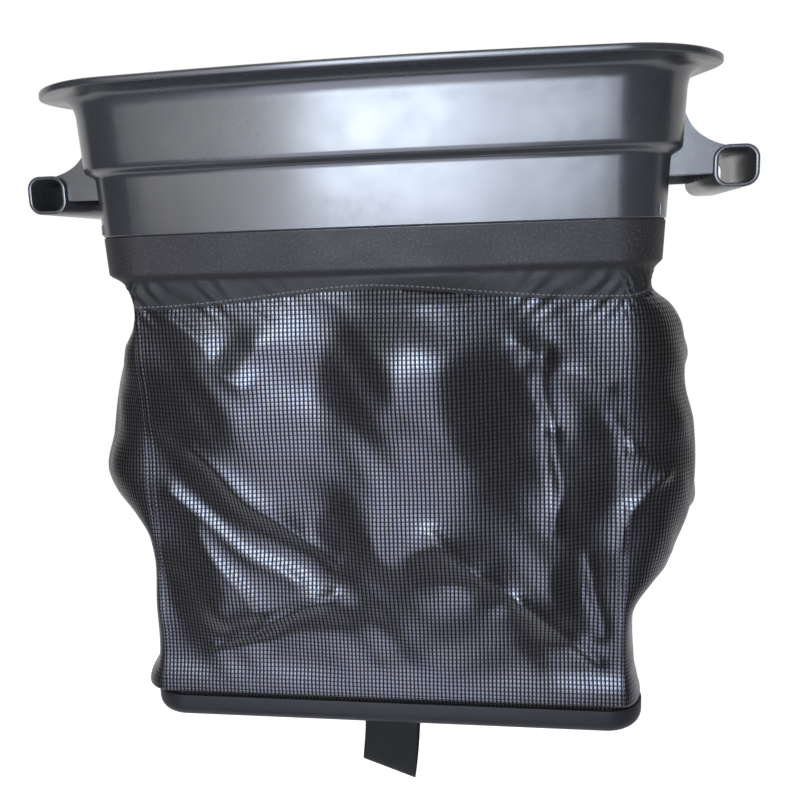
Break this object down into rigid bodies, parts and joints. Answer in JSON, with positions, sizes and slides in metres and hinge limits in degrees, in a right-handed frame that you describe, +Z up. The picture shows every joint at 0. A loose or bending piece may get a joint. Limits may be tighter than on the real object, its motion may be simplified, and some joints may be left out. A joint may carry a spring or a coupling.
{
  "type": "mower grass collection bag",
  "caption": "Mesh grass collection bag with a moulded rectangular collar, side carrying lugs, a shallow moulded base and a webbing pull strap.",
  "frame": {"origin": "middle of the collar's mouth, in the plane of the top rim, where the mower's chute seats", "axes": "+X to the right along the collar's long side, +Y to the rear, +Z up out of the mouth"},
  "size_m": [0.5746, 0.428, 0.5805],
  "materials": {
    "collar_plastic": "satin gloss black, injection moulded",
    "base_plastic": "matt charcoal, moulded",
    "coated_cloth": "black coated woven cloth, fine speckle",
    "mesh_cloth": "open woven black mesh with a bluish sheen",
    "tape": "black woven seam tape",
    "webbing": "black woven strap webbing"
  },
  "bodies": {
    "root": {"collar": "collar_plastic", "header_band": "coated_cloth", "header_tape": "tape", "mesh_front": "mesh_cloth", "mesh_right": "mesh_cloth", "mesh_rear": "mesh_cloth", "mesh_left": "mesh_cloth", "seam_front_right": "tape", "seam_rear_right": "tape", "seam_rear_left": "tape", "seam_front_left": "tape", "base_tray": "base_plastic", "strap": "webbing"}
  },
  "joints": []
}
